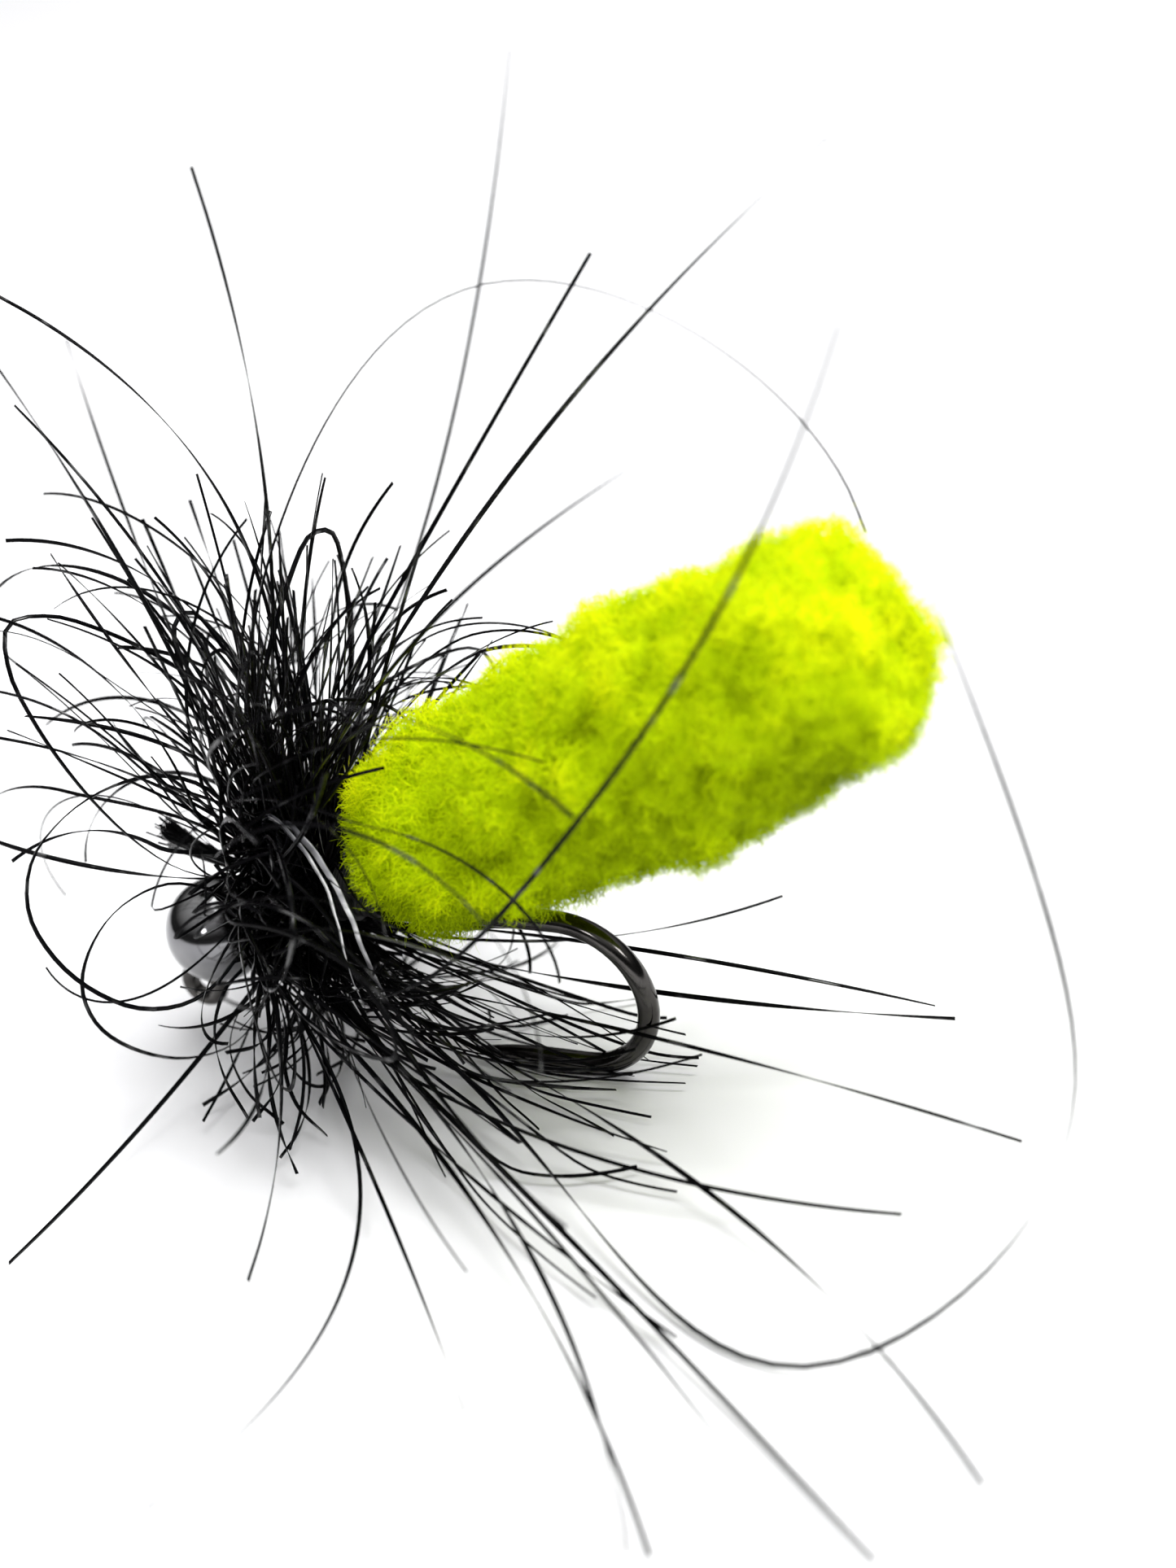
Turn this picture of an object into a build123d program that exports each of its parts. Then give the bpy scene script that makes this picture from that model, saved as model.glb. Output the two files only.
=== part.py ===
from build123d import *
from math import cos, radians, sin, sqrt, tan
import os

# Mop-style jig fly, built the way it is tied.  Millimetres.
# Origin: centre of the hook eye.  +X runs back along the shank, +Z is up, Y is the hook eye's hole axis,
# and -Y is called the near side.

os.makedirs("parts", exist_ok=True)

# ---- driving dimensions: jig hook ----
WIRE_R = 0.39          # bare hook wire
EYE_RING_R = 0.66      # centre line of the eye ring
EYE_WIRE_R = 0.33
EYE_BORE_R = 0.36      # round land inside the ring
LEG_ANGLE = 60.0       # front leg above the horizontal, the jig bend
LEG_BEND_R = 1.0
SHANK_Z = 4.4          # shank centre line above the eye centre
BEND_X = 16.3          # where the round bend starts
GAPE = 5.96            # shank centre to point centre
POINT_STRAIGHT = 1.7   # parallel wire after the bend, before the taper
POINT_TAPER = 3.2
TIP_R = 0.03

# ---- driving dimensions: bead ----
BEAD_R = 2.0           # 4.0 mm slotted bead
BEAD_ALONG_LEG = 3.0   # bead centre from the eye centre
BEAD_BORE_R = 0.62
BEAD_SLOT = 1.24

# ---- driving dimensions: thread ----
THREAD_START_X = 3.2
THREAD_END_X = 9.2
THREAD_T = 0.10        # thickness of one layer of thread
HEAD_WRAPS_END_X = 3.62
HEAD_WRAPS_R = 0.76
WHIP_X = (3.64, 3.98)  # whip finish, start and end along the shank
WHIP_R = 0.66
CEMENT_R = 0.78
CEMENT_EDGE_R = 0.70
COLLAR_LASHING_X = (7.32, 7.66)
COLLAR_LASHING_R = 0.72
FIT = 0.01             # gap between pieces that lie on each other

# ---- driving dimensions: collar ----
COLLAR_X0 = 4.15       # first turn of the brush core
COLLAR_PITCH = 0.72
COLLAR_TURNS = 4
COLLAR_CORE_R = 0.13
COLLAR_PILE_R = 2.6    # dense underfur, from the shank centre line
COLLAR_PILE_X = (4.10, 7.10)    # underfur at the shank
COLLAR_FLARE_X = (4.30, 7.55)   # underfur at its rim
COLLAR_PILE_ROUND = 0.8
TAG_LINE = ((3.5, 5.45), (2.2, 5.95), (0.6, 6.75))   # x and z along the frayed cut end
TAG_R = (0.20, 0.26, 0.42)
FILAMENT_R = 0.05
FILAMENT_STEP = 1.8    # straight length between mitred joints
FLOOR_Z = -1.6         # filaments bend up here, so that none hangs below the hook bend

# ---- driving dimensions: chenille strand ----
HINGE = (9.0, 5.9)     # x and z where the strand leaves its lashing
PITCH = 26.0           # strand above the shank
NECK = 1.6             # from the lift hinge to the sway hinge
HINGE_GAP = 0.05
STRAND_LEN = 24.1      # lift hinge to the rear end
STRAND_R = 4.4
STRAND_CORE_R = 0.4
PILE_FRONT = 0.5       # lift hinge to the first pile
CORE_END = 1.4         # bare pile behind the end of the core
ROOT_X = (7.74, 8.36)  # tied-down end of the strand core, on top of the thread base
ROOT_Z = 5.28
ROOT_R = 0.33
ROOT_TOP = (8.86, 5.70)
STRAND_LASHING_X = 7.76
STRAND_LASHING_W = 0.56
CHANNEL_X = 8.0        # channel in the pile for the shank
CHANNEL_LEN = 10.0
FLASH_W = 0.34
FLASH_T = 0.06

# ---- worked out from the driving dimensions ----
LEG_DIR = (cos(radians(LEG_ANGLE)), sin(radians(LEG_ANGLE)))
CORNER_X = SHANK_Z / tan(radians(LEG_ANGLE))
POINT_Z = SHANK_Z - GAPE
BEND_R = GAPE / 2
BEAD_X = BEAD_ALONG_LEG * LEG_DIR[0]
BEAD_Z = BEAD_ALONG_LEG * LEG_DIR[1]
THREAD_R = WIRE_R + THREAD_T
STRAND_DIR = (cos(radians(PITCH)), sin(radians(PITCH)))
COLLAR_MID_X = COLLAR_X0 + COLLAR_PITCH * COLLAR_TURNS / 2


def save(piece, name):
    """Label a finished piece and write it to its own STEP file."""
    piece.label = name
    export_step(piece, f"parts/{name}.step")


def across(line, at=0):
    """Plane square to a line at its start (0) or end (1)."""
    return Plane(origin=line @ at, z_dir=line % at)


def along_strand(distance):
    """Plane square to the chenille strand, at a distance behind the lift hinge, with x_dir level."""
    x = HINGE[0] + distance * STRAND_DIR[0]
    z = HINGE[1] + distance * STRAND_DIR[1]
    return Plane(origin=(x, 0, z), x_dir=(0, 1, 0), z_dir=(STRAND_DIR[0], 0, STRAND_DIR[1]))


# ---- hook: eye ring, bent leg, shank, round bend and barbless point ----
with BuildPart() as hook:
    with BuildLine(Plane.XZ) as wire_line:
        leg_start = (EYE_RING_R * LEG_DIR[0], EYE_RING_R * LEG_DIR[1])
        FilletPolyline(leg_start, (CORNER_X, SHANK_Z), (BEND_X, SHANK_Z), radius=LEG_BEND_R)
        ThreePointArc((BEND_X, SHANK_Z), (BEND_X + BEND_R, SHANK_Z - BEND_R), (BEND_X, POINT_Z))
        Line((BEND_X, POINT_Z), (BEND_X - POINT_STRAIGHT, POINT_Z))
    with BuildSketch(across(wire_line.line)):
        Circle(WIRE_R)
    sweep()
    taper_root = Plane(origin=(BEND_X - POINT_STRAIGHT, 0, POINT_Z), z_dir=(-1, 0, 0))
    with BuildSketch(taper_root):
        Circle(WIRE_R)
    with BuildSketch(taper_root.offset(POINT_TAPER * 0.55)):
        Circle(WIRE_R * 0.72)
    with BuildSketch(taper_root.offset(POINT_TAPER)):
        Circle(TIP_R)
    loft()
    Torus(EYE_RING_R, EYE_WIRE_R, rotation=(90, 0, 0))
    Cylinder(EYE_BORE_R, 4 * EYE_WIRE_R, rotation=(90, 0, 0), mode=Mode.SUBTRACT)
save(hook.part, "hook")

# ---- bead: slotted so that it passes the jig bend, its slot facing back along the shank ----
bead_plane = Plane(
    origin=(BEAD_X, 0, BEAD_Z),
    x_dir=(LEG_DIR[1], 0, -LEG_DIR[0]),
    z_dir=(LEG_DIR[0], 0, LEG_DIR[1]),
)
with BuildPart(bead_plane) as bead:
    Sphere(BEAD_R)
    Cylinder(BEAD_BORE_R, 2 * BEAD_R, mode=Mode.SUBTRACT)
    with Locations((0, 0, -BEAD_R)):
        Cone(1.0, BEAD_BORE_R, 0.6, mode=Mode.SUBTRACT)
    with Locations((BEAD_R / 2, 0, BEAD_R / 2 + 0.3)):
        Box(BEAD_R, BEAD_SLOT, BEAD_R, mode=Mode.SUBTRACT)
save(bead.part, "bead")


def wraps(x_start, x_end, inner_r, outer_r, turns):
    """Half outline of thread wound in touching turns, to revolve about the shank."""
    pitch = (x_end - x_start) / turns
    crest = min(pitch / 2, outer_r - inner_r) * 0.6
    side = outer_r - crest
    Line((x_start, side), (x_start, inner_r))
    Line((x_start, inner_r), (x_end, inner_r))
    Line((x_end, inner_r), (x_end, side))
    for turn in range(turns):
        left = x_start + turn * pitch
        ThreePointArc((left, side), (left + pitch / 2, outer_r), (left + pitch, side))


shank_plane = Plane(origin=(0, 0, SHANK_Z), x_dir=(1, 0, 0), z_dir=(0, -1, 0))
shank_axis = Axis((0, 0, SHANK_Z), (1, 0, 0))


def wound_sleeve(x_start, x_end, inner_r, outer_r, turns):
    """Thread wound round the shank between two stations."""
    with BuildPart() as sleeve:
        with BuildSketch(shank_plane):
            with BuildLine():
                wraps(x_start, x_end, inner_r, outer_r, turns)
            make_face()
        revolve(axis=shank_axis)
    return sleeve.part


# ---- thread: base layer, wraps behind the bead, whip finish and the cement over it ----
save(wound_sleeve(THREAD_START_X, THREAD_END_X, WIRE_R + FIT, THREAD_R, 24), "thread_base")
save(wound_sleeve(THREAD_START_X, HEAD_WRAPS_END_X, THREAD_R + FIT, HEAD_WRAPS_R, 4), "head_wraps")
save(wound_sleeve(*WHIP_X, THREAD_R + FIT, WHIP_R, 3), "whip_finish")
save(wound_sleeve(*COLLAR_LASHING_X, THREAD_R + FIT, COLLAR_LASHING_R, 3), "collar_lashing")

with BuildPart() as head_cement:
    with BuildSketch(shank_plane):
        with BuildLine():
            front, rear = WHIP_X
            Line((front, WHIP_R + FIT), (rear, WHIP_R + FIT))
            Line((rear, WHIP_R + FIT), (rear, CEMENT_EDGE_R))
            ThreePointArc((rear, CEMENT_EDGE_R), ((front + rear) / 2, CEMENT_R), (front, CEMENT_EDGE_R))
            Line((front, CEMENT_EDGE_R), (front, WHIP_R + FIT))
        make_face()
    revolve(axis=shank_axis)
save(head_cement.part, "head_cement")

# ---- collar: brush core wound round the shank, its dense underfur, and its frayed cut end ----
core_helix_r = THREAD_R + FIT + COLLAR_CORE_R
with BuildPart() as collar_core:
    with BuildLine() as core_line:
        Helix(
            pitch=COLLAR_PITCH,
            height=COLLAR_PITCH * COLLAR_TURNS,
            radius=core_helix_r,
            center=(COLLAR_X0, 0, SHANK_Z),
            direction=(1, 0, 0),
        )
    with BuildSketch(across(core_line.line)):
        Circle(COLLAR_CORE_R)
    sweep(is_frenet=True)
save(collar_core.part, "collar_core")

pile_inner_r = core_helix_r + COLLAR_CORE_R + 0.03
with BuildPart() as collar_pile:
    with BuildSketch(shank_plane) as pile_outline:
        with BuildLine():
            Polyline(
                (COLLAR_PILE_X[0], pile_inner_r),
                (COLLAR_PILE_X[1], pile_inner_r),
                (COLLAR_FLARE_X[1], COLLAR_PILE_R),
                (COLLAR_FLARE_X[0], COLLAR_PILE_R),
                close=True,
            )
        make_face()
        fillet(pile_outline.vertices().group_by(Axis.Y)[-1], radius=COLLAR_PILE_ROUND)
    revolve(axis=shank_axis)
save(collar_pile.part, "collar_pile")

with BuildPart() as core_tag:
    with BuildLine(Plane.XZ) as tag_line:
        Spline(*TAG_LINE)
    for place, radius in zip((0, 0.5, 1), TAG_R):
        with BuildSketch(across(tag_line.line, place)):
            Circle(radius)
    loft()
save(core_tag.part, "core_tag")

# ---- chenille strand: tied-down root, lashing, neck, twisted core and soft pile ----
with BuildPart() as strand_root:
    with BuildLine(Plane.XZ) as root_line:
        Line((ROOT_X[0], ROOT_Z), (ROOT_X[1], ROOT_Z))
        Spline((ROOT_X[1], ROOT_Z), ROOT_TOP, tangents=((1, 0), (0.6, 0.8)))
    with BuildSketch(across(root_line.line)):
        Circle(ROOT_R)
    sweep()
save(strand_root.part, "strand_root")

with BuildPart() as strand_lashing:
    with BuildSketch(Plane.YZ.offset(STRAND_LASHING_X)):
        with Locations((0, (SHANK_Z + ROOT_Z) / 2)):
            SlotCenterToCenter(ROOT_Z - SHANK_Z, 2 * (THREAD_R + 0.16), rotation=90)
        with Locations((0, SHANK_Z)):
            Circle(THREAD_R + FIT, mode=Mode.SUBTRACT)
        with Locations((0, ROOT_Z)):
            Circle(ROOT_R + FIT, mode=Mode.SUBTRACT)
    extrude(amount=STRAND_LASHING_W)
save(strand_lashing.part, "strand_lashing")


def rounded_rod(start, end, radius):
    """Rod along the strand with ball ends, between two distances behind the lift hinge."""
    with BuildPart(along_strand(start)) as rod:
        with Locations((0, 0, radius)):
            Sphere(radius)
        with Locations((0, 0, end - start - radius)):
            Sphere(radius)
        with Locations((0, 0, (end - start) / 2)):
            Cylinder(radius, end - start - 2 * radius)
    return rod.part


save(rounded_rod(HINGE_GAP, NECK - HINGE_GAP, STRAND_CORE_R), "strand_neck")
save(rounded_rod(NECK + HINGE_GAP, STRAND_LEN - CORE_END - 0.1, STRAND_CORE_R), "strand_core")

strand_plane = Plane(
    origin=(HINGE[0], 0, HINGE[1]),
    x_dir=(STRAND_DIR[0], 0, STRAND_DIR[1]),
    z_dir=(0, -1, 0),
)
strand_axis = Axis((HINGE[0], 0, HINGE[1]), (STRAND_DIR[0], 0, STRAND_DIR[1]))
core_bore_r = STRAND_CORE_R + FIT
core_end = STRAND_LEN - CORE_END
pocket_r = 0.8         # room for the neck
pocket_end = NECK + 0.5
with BuildPart() as strand_pile:
    with BuildSketch(strand_plane):
        with BuildLine():
            Polyline(
                (PILE_FRONT, pocket_r),
                (PILE_FRONT, 1.7),
                (2.6, 3.4),
                (5.5, 0.91 * STRAND_R),
                (9.5, STRAND_R),
                (17.0, STRAND_R),
                (21.6, 0.95 * STRAND_R),
                (STRAND_LEN - 0.6, 0.78 * STRAND_R),
                (STRAND_LEN, 0.5 * STRAND_R),
                (STRAND_LEN, 0),
                (core_end, 0),
                (core_end, core_bore_r),
                (pocket_end, core_bore_r),
                (pocket_end, pocket_r),
                close=True,
            )
        make_face()
    revolve(axis=strand_axis)
    # the pile straddles the shank, so the shank has a channel that is open below
    channel_half = WIRE_R + 0.3
    with BuildSketch(Plane.YZ.offset(CHANNEL_X)):
        with Locations((0, SHANK_Z)):
            Circle(channel_half)
        with Locations((0, SHANK_Z - GAPE / 2)):
            Rectangle(2 * channel_half, GAPE)
    extrude(amount=CHANNEL_LEN, mode=Mode.SUBTRACT)
save(strand_pile.part, "strand_pile")


# ---- filaments: flat synthetic strands that the brush core holds, free outside the underfur ----
def round_shank(clock):
    """Unit vectors outward and onward at a clock angle: 0 is up, 90 the near side, 180 down."""
    a = radians(clock)
    return Vector(0, -sin(a), cos(a)), Vector(0, -cos(a), -sin(a))


def on_collar(clock, x=COLLAR_MID_X):
    """Point just outside the underfur."""
    outward, onward = round_shank(clock)
    return Vector(x, 0, SHANK_Z) + outward * (COLLAR_PILE_R + 0.1)


def off_floor(point):
    return Vector(point.X, point.Y, max(point.Z, FLOOR_Z + 2 * FILAMENT_R))


def strand_path(clock, lean, length, bow_back=0.0, bow_round=0.0, x=COLLAR_MID_X):
    """A strand that leans back by an angle, with its middle bowed back and round the shank."""
    outward, onward = round_shank(clock)
    a = radians(lean)
    root = on_collar(clock, x)
    tip = root + (outward * cos(a) + Vector(sin(a), 0, 0)) * length
    bow = (Vector(cos(a), 0, 0) - outward * sin(a)) * bow_back + onward * bow_round
    points = [root, (root + tip) * 0.5 + bow, tip]
    return [off_floor(p) for p in points]


def loop_path(clock, spread, lean, reach, width):
    """A strand that leaves the collar and comes back to it, its far end reaching out by a distance."""
    out_dir, onward = round_shank(clock)
    a = radians(lean)
    axis_dir = out_dir * cos(a) + Vector(sin(a), 0, 0)
    root = on_collar(clock)
    shoulder = root + axis_dir * (reach * 0.62)
    points = [
        on_collar(clock - spread / 2),
        shoulder - onward * (width / 2),
        root + axis_dir * reach,
        shoulder + onward * (width / 2),
        on_collar(clock + spread / 2),
    ]
    return [off_floor(p) for p in points]


def distance_to_segment(point, start, end):
    along = end - start
    t = max(0.0, min(1.0, (point - start).dot(along) / along.dot(along)))
    return (point - start - along * t).length


def is_clear(edge):
    """True where a strand's centre line stays off the chenille, hook, bead and tag."""
    hinge = Vector(HINGE[0], 0, HINGE[1])
    axis_dir = Vector(STRAND_DIR[0], 0, STRAND_DIR[1])
    obstacles = [
        (hinge + axis_dir * 5.0, hinge + axis_dir * (STRAND_LEN - 3.2), STRAND_R + 0.12),
        (hinge + axis_dir * 2.6, hinge + axis_dir * 5.0, STRAND_R - 0.45),
        (hinge, hinge + axis_dir * 2.6, 2.4),
        (Vector(8, 0, SHANK_Z), Vector(BEND_X, 0, SHANK_Z), 0.5),
        (Vector(BEND_X, 0, POINT_Z), Vector(BEND_X - 4.9, 0, POINT_Z), 0.5),
        (Vector(BEAD_X, 0, BEAD_Z), Vector(BEAD_X, 0, BEAD_Z + 0.01), BEAD_R + 0.12),
        (Vector(0, 0, 0), Vector(0, 0, 0.01), 1.15),
        (Vector(TAG_LINE[0][0], 0, TAG_LINE[0][1]), Vector(TAG_LINE[-1][0], 0, TAG_LINE[-1][1]), 0.55),
    ]
    for step in range(41):
        p = edge @ (step / 40)
        if any(distance_to_segment(p, a, b) < gap for a, b, gap in obstacles):
            return False
        in_bend = sqrt((p.X - BEND_X) ** 2 + (p.Z - SHANK_Z + BEND_R) ** 2) - BEND_R
        if p.X > BEND_X and abs(in_bend) < 0.5 and abs(p.Y) < 0.5:
            return False
    return True


def filament(points, flat=False):
    """One round or flat filament as a solid, or None where it would cut into another piece.

    It follows a smooth curve through the points in short straight lengths with mitred joints.
    """
    with BuildPart() as strand:
        with BuildLine() as path:
            curve = Spline(*points, mode=Mode.PRIVATE)
            lengths = max(4, round(curve.length / FILAMENT_STEP))
            Polyline(*[curve @ (i / lengths) for i in range(lengths + 1)])
        with BuildSketch(across(path.line)):
            if flat:
                Rectangle(FLASH_W, FLASH_T)
            else:
                Circle(FILAMENT_R)
        sweep(transition=Transition.RIGHT)
    return strand.part.solid() if is_clear(curve) else None


# clock, lean back, length, bow back, bow round
LONG_STRANDS = [
    (-6, 8, 24, 1.8, 0.0),
    (-6, 29, 30.5, 3.0, 2.5),
    (3, 50, 24, -1.5, 0.5),
    (-18, 36, 24.5, 0.5, 1.5),
    (-16, 44, 32, -1.8, -1.0),
    (-24, 46, 27.5, 1.0, -2.0),
    (-7, -20, 21, 5.0, 0.0),
    (-9, -30, 18, 1.2, 0.0),
    (5, -10, 20, 1.5, 0.5),
    (12, 5, 21.5, -0.5, 0.0),
    (29, -45, 11, 2.0, 0.0),
    (46, -58, 9.5, 0.5, 0.5),
    (109, 44, 21.5, 0.0, 1.5),
    (103, 48, 29.5, 2.0, 2.0),
    (106, 51, 30.5, 1.5, 1.5),
    (109, 57, 27, 0.5, 0.5),
    (115, 62, 24, -0.5, 0.5),
    (111, 65, 34.5, 3.0, 2.5),
    (107, 58, 33.5, 0.5, 2.0),
    (104, 21, 23, 4.5, 2.5),
    (112, -20, 14, -1.5, 2.0),
    (160, 84, 29, 1.0, -1.0),
    (214, 83, 24, 1.0, -1.0),
    (220, 80, 22, 2.0, 0.0),
    (132, 78, 26.5, -2.0, -1.0),
    (142, 74, 16.5, -0.5, -0.5),
    (145, -30, 7.5, 0.0, 0.0),
    (133, -14, 6, -0.5, 1.0),
]

# clock, spread, lean back, reach, width
LOOPS = [
    (8, 14, 4, 8.5, 3.0),
    (24, 18, 18, 7.0, 3.5),
    (-20, 22, 10, 11.0, 5.0),
    (-4, 12, -14, 9.0, 3.0),
    (14, 26, -32, 12.0, 6.0),
    (62, 22, 44, 9.0, 4.5),
    (84, 18, 58, 11.5, 4.0),
    (100, 26, 34, 7.0, 5.0),
    (58, 40, -42, 8.0, 7.5),
    (96, 44, -48, 6.5, 7.0),
    (128, 20, 66, 12.5, 4.0),
    (150, 30, 20, 4.5, 4.0),
    (-60, 34, 30, 9.0, 6.0),
    (-96, 30, 8, 8.0, 5.0),
    (-128, 26, 40, 9.0, 4.0),
    (-44, 40, -36, 9.0, 7.0),
]

# long strands that sweep wide of the chenille: points from the collar out to the tip
SWEEPS = {
    "trailing_filaments": [
        [(8.0, -3.4, 3.0), (14.5, -5.6, 5.5), (20.5, -6.0, 10.8), (28.0, -5.6, 19.5), (33.0, -5.0, 28.0)],
        [
            (6.5, -2.4, 2.6),
            (20.0, -8.0, -1.0),
            (31.0, -12.5, -1.5),
            (36.0, -6.0, 1.5),
            (36.0, -4.0, 9.0),
            (33.5, -3.0, 19.0),
        ],
    ],
    "top_filaments": [
        [(5.5, -0.3, 7.2), (9.0, 2.0, 20.0), (15.5, 5.0, 25.5), (25.0, 6.0, 21.5), (27.5, 6.0, 16.5)],
    ],
}

SECTORS = ["top_filaments", "near_filaments", "bottom_filaments", "far_filaments"]
GOLDEN_ANGLE = 137.508
SHORT_STRANDS = 64
FORWARD_LEAN = -22     # leans further forward than this: one of the front filaments
TRAILING_LEAN = 72     # leans further back than this: one of the trailing filaments


def group_of(clock, lean):
    if lean < FORWARD_LEAN:
        return "front_filaments"
    if lean > TRAILING_LEAN:
        return "trailing_filaments"
    return SECTORS[int(((clock + 45) % 360) // 90)]


def fraction(index, step):
    """Evenly scattered value between 0 and 1."""
    return (index * step) % 1.0


def save_bundle(strands, name):
    """Save the strands that were built as one piece."""
    save(Compound([strand for strand in strands if strand is not None]), name)


groups = {name: [] for name in SECTORS + ["front_filaments", "trailing_filaments"]}
for name, sweeps in SWEEPS.items():
    groups[name] += [filament(points) for points in sweeps]
for index, (clock, lean, length, bow_back, bow_round) in enumerate(LONG_STRANDS):
    root_x = COLLAR_MID_X + 2.6 * (fraction(index, 0.382) - 0.5)
    strand = filament(strand_path(clock, lean, length, bow_back, bow_round, root_x))
    groups[group_of(clock, lean)].append(strand)
for clock, spread, lean, reach, width in LOOPS:
    groups[group_of(clock, lean)].append(filament(loop_path(clock, spread, lean, reach, width)))
for index in range(SHORT_STRANDS):
    clock = index * GOLDEN_ANGLE
    lean = -34 + 84 * fraction(index, 0.618)
    length = 5.5 + 8.5 * fraction(index, 0.377)
    bow = 2.4 * fraction(index, 0.733) - 1.2
    root_x = COLLAR_MID_X + 2.2 * (fraction(index, 0.271) - 0.5)
    strand = filament(strand_path(clock, lean, length, bow, 1.4 * bow, root_x))
    groups[group_of(clock, lean)].append(strand)

for name, strands in groups.items():
    save_bundle(strands, name)

# ---- two wide flash strands that arch over the near side of the collar ----
FLASH_PATHS = [
    [(6.2, -1.3, 6.9), (8.6, -3.2, 9.5), (10.2, -3.95, 8.0), (10.3, -4.0, 5.6), (10.4, -3.9, 2.6)],
    [(6.8, -1.5, 6.8), (9.4, -3.4, 9.3), (10.8, -4.05, 7.8), (11.2, -4.15, 5.6), (11.6, -4.1, 3.2)],
]
save_bundle([filament(points, flat=True) for points in FLASH_PATHS], "flash_strands")
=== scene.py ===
import bpy
import math
import numpy as np
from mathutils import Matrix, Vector


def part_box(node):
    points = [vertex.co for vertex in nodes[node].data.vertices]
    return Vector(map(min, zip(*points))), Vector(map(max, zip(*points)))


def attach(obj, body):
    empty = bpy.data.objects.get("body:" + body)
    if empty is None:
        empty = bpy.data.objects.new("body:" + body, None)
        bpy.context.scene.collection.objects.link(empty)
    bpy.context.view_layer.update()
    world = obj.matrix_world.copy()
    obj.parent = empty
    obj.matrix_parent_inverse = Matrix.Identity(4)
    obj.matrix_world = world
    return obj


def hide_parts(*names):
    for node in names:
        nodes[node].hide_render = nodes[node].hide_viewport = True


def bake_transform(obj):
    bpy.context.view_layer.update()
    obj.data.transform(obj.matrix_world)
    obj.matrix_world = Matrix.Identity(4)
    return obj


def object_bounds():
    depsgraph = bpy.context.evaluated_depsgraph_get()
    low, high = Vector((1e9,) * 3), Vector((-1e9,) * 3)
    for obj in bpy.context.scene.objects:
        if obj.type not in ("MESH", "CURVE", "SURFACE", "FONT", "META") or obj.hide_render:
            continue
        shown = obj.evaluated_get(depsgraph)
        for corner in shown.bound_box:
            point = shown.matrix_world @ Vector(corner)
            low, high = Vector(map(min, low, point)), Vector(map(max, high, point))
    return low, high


MM = 0.001
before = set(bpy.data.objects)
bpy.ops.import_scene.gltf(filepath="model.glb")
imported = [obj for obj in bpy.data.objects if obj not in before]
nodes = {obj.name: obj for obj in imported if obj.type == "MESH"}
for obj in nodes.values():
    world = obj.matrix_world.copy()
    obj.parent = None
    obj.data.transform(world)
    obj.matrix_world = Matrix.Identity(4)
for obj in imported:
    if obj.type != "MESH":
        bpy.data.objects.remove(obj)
cad_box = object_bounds()
SEED = 26
rng = np.random.default_rng(SEED)

# Names of directions follow the CAD: +X back along the shank, +Z up, -Y the near side.
SHANK_Z = 4.4 * MM
COLLAR_X = 5.6 * MM                                 # middle of the collar along the shank
SHANK_MID = np.array([COLLAR_X, 0.0, SHANK_Z])
LOW_Z = cad_box[0].z                                # what the fly rests on
AXIS_P = np.array([9.0, 0.0, 5.9]) * MM             # where the chenille strand is tied in
PITCH = math.radians(26.0)                          # how far the strand rises from the shank
AXIS_D = np.array([math.cos(PITCH), 0.0, math.sin(PITCH)])      # along the strand
AXIS_U = np.array([-math.sin(PITCH), 0.0, math.cos(PITCH)])     # up, square to the strand
GOLDEN = 3 - math.sqrt(5)                           # the golden angle as a share of pi
CIRCLE = 6.3                                        # range of a random angle


def unit(v):
    return v / np.maximum(np.linalg.norm(v, axis=-1, keepdims=True), 1e-12)


# ---------------------------------------------------------------- materials
def add_node(tree, kind, **inputs):
    """A new shader node with its inputs set by name."""
    node = tree.nodes.new(kind)
    for key, value in inputs.items():
        node.inputs[key.replace("_", " ")].default_value = value
    return node


def new_material(name):
    """A material, its node tree and its Principled shader."""
    m = bpy.data.materials.new(name)
    m.use_nodes = True
    return m, m.node_tree, m.node_tree.nodes["Principled BSDF"]


def ramp_colour(tree, factor, stops):
    """Base colour from a ramp driven by a socket. stops: (place, (r, g, b))."""
    ramp = add_node(tree, "ShaderNodeValToRGB")
    while len(ramp.color_ramp.elements) < len(stops):
        ramp.color_ramp.elements.new(0.5)
    for element, (place, colour) in zip(ramp.color_ramp.elements, stops):
        element.position = place
        element.color = (*colour, 1.0)
    tree.links.new(factor, ramp.inputs["Fac"])
    tree.links.new(ramp.outputs["Color"], tree.nodes["Principled BSDF"].inputs["Base Color"])


def object_noise(tree, scale, detail=3.0):
    """Noise in object coordinates, with its feature size set by scale per metre."""
    place = add_node(tree, "ShaderNodeTexCoord")
    noise = add_node(tree, "ShaderNodeTexNoise", Scale=scale, Detail=detail)
    tree.links.new(place.outputs["Object"], noise.inputs["Vector"])
    return noise.outputs["Fac"]


def bumped(tree, height, strength):
    """The surface bumped by a socket's value."""
    bump = add_node(tree, "ShaderNodeBump", Strength=strength, Distance=0.02 * MM)
    tree.links.new(height, bump.inputs["Height"])
    tree.links.new(bump.outputs["Normal"], tree.nodes["Principled BSDF"].inputs["Normal"])


def metal(name, dark, light, rough_low, rough_high, scale, bump):
    """Plated metal: faint mottling in colour and in roughness, and a slight ripple."""
    m, tree, shader = new_material(name)
    shader.inputs["Metallic"].default_value = 1.0
    noise = object_noise(tree, scale)
    ramp_colour(tree, noise, [(0.3, dark), (0.75, light)])
    spread = add_node(tree, "ShaderNodeMapRange", To_Min=rough_low, To_Max=rough_high)
    tree.links.new(noise, spread.inputs["Value"])
    tree.links.new(spread.outputs["Result"], shader.inputs["Roughness"])
    bumped(tree, object_noise(tree, scale * 2.5), bump)
    return m


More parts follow.
